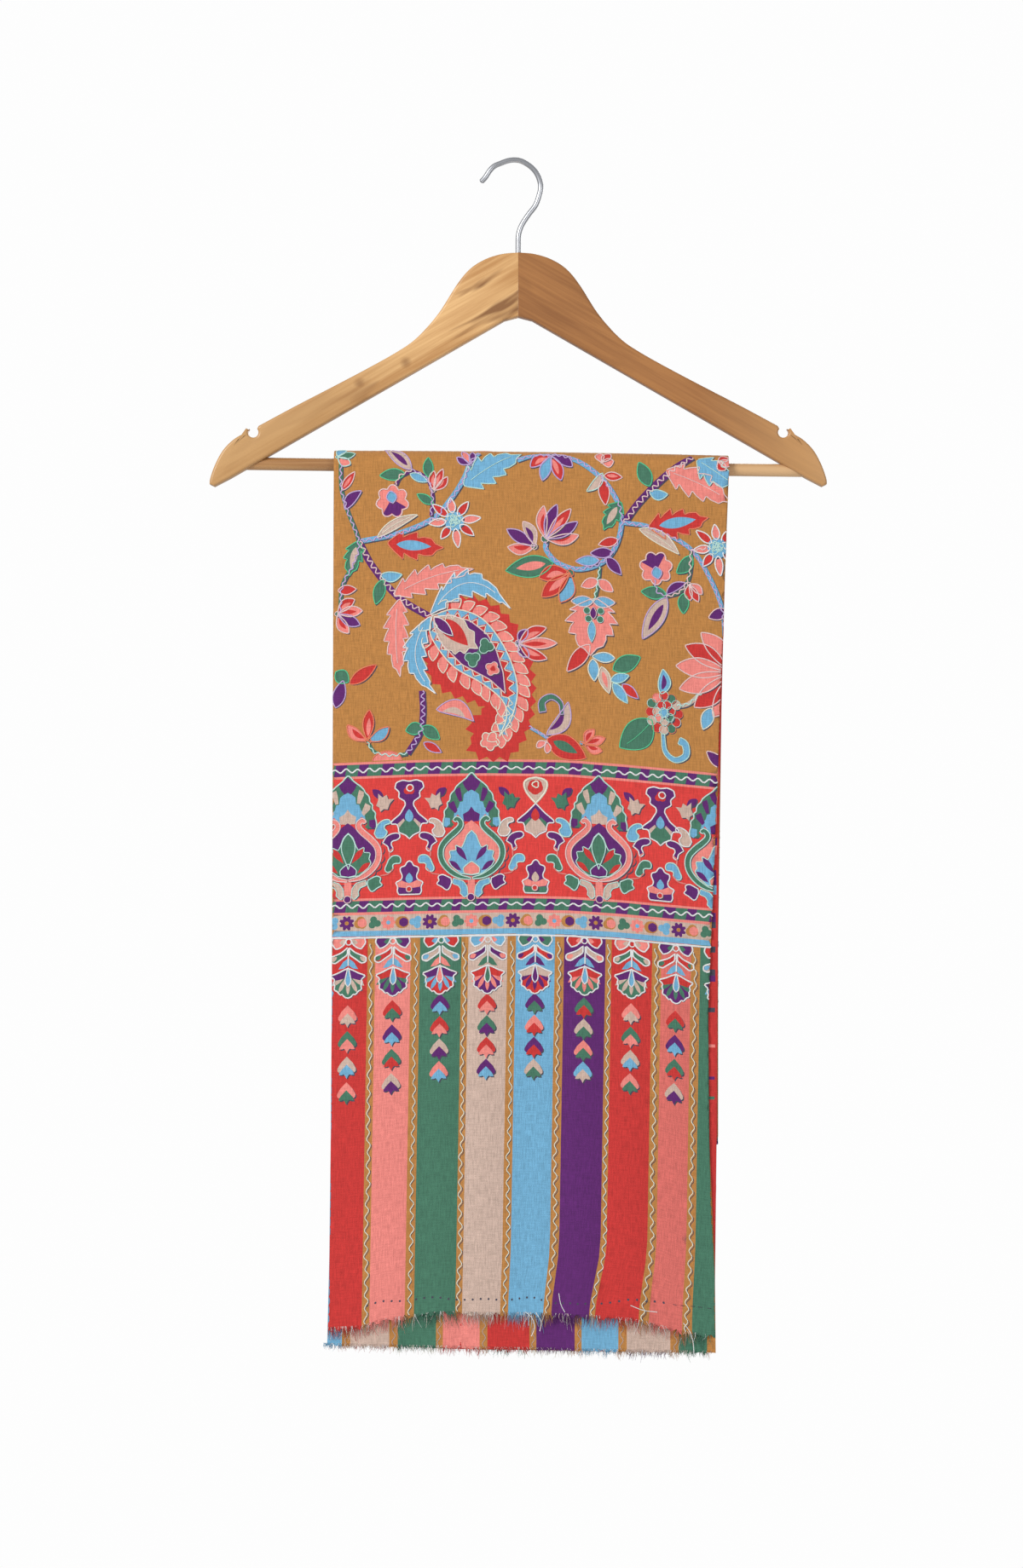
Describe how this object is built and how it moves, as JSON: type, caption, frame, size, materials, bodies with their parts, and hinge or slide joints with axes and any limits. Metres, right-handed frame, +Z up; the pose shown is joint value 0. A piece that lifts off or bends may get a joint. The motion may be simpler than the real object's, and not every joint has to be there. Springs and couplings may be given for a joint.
{
  "type": "pashmina shawl folded over a wooden clothes hanger",
  "caption": "Long embroidered wool shawl with striped ends and a fine frayed hem, folded in quarters and draped over the bar of a wooden hanger with a wire hook.",
  "frame": {"origin": "the point inside the bend of the hook that rests on the rail or peg", "axes": "+Z up along the hook's shank and the hanging cloth, +X to the right of someone facing the shawl's front, -Y towards them"},
  "size_m": [0.4032, 0.0212, 0.7867],
  "materials": {
    "wood": "clear lacquered softwood",
    "bar_wood": "plain turned wood",
    "hook_wire": "plated steel wire",
    "embroidered_wool": "fine wool twill, gold brown ground covered with coloured thread",
    "reverse_wool": "wrong side of the striped wool",
    "selvedge_wool": "fine wool, folded inside",
    "fringe_wool": "loose frayed warp"
  },
  "bodies": {
    "root": {"hanger_arm_left": "wood", "hanger_arm_right": "wood", "hanger_bar": "bar_wood", "hanger_hook": "hook_wire", "outer_leaf": "embroidered_wool", "second_leaf": "reverse_wool", "inner_leaves": "selvedge_wool", "fringe_front": "fringe_wool", "fringe_second": "fringe_wool", "fringe_third": "fringe_wool", "fringe_rear": "fringe_wool"}
  },
  "joints": []
}
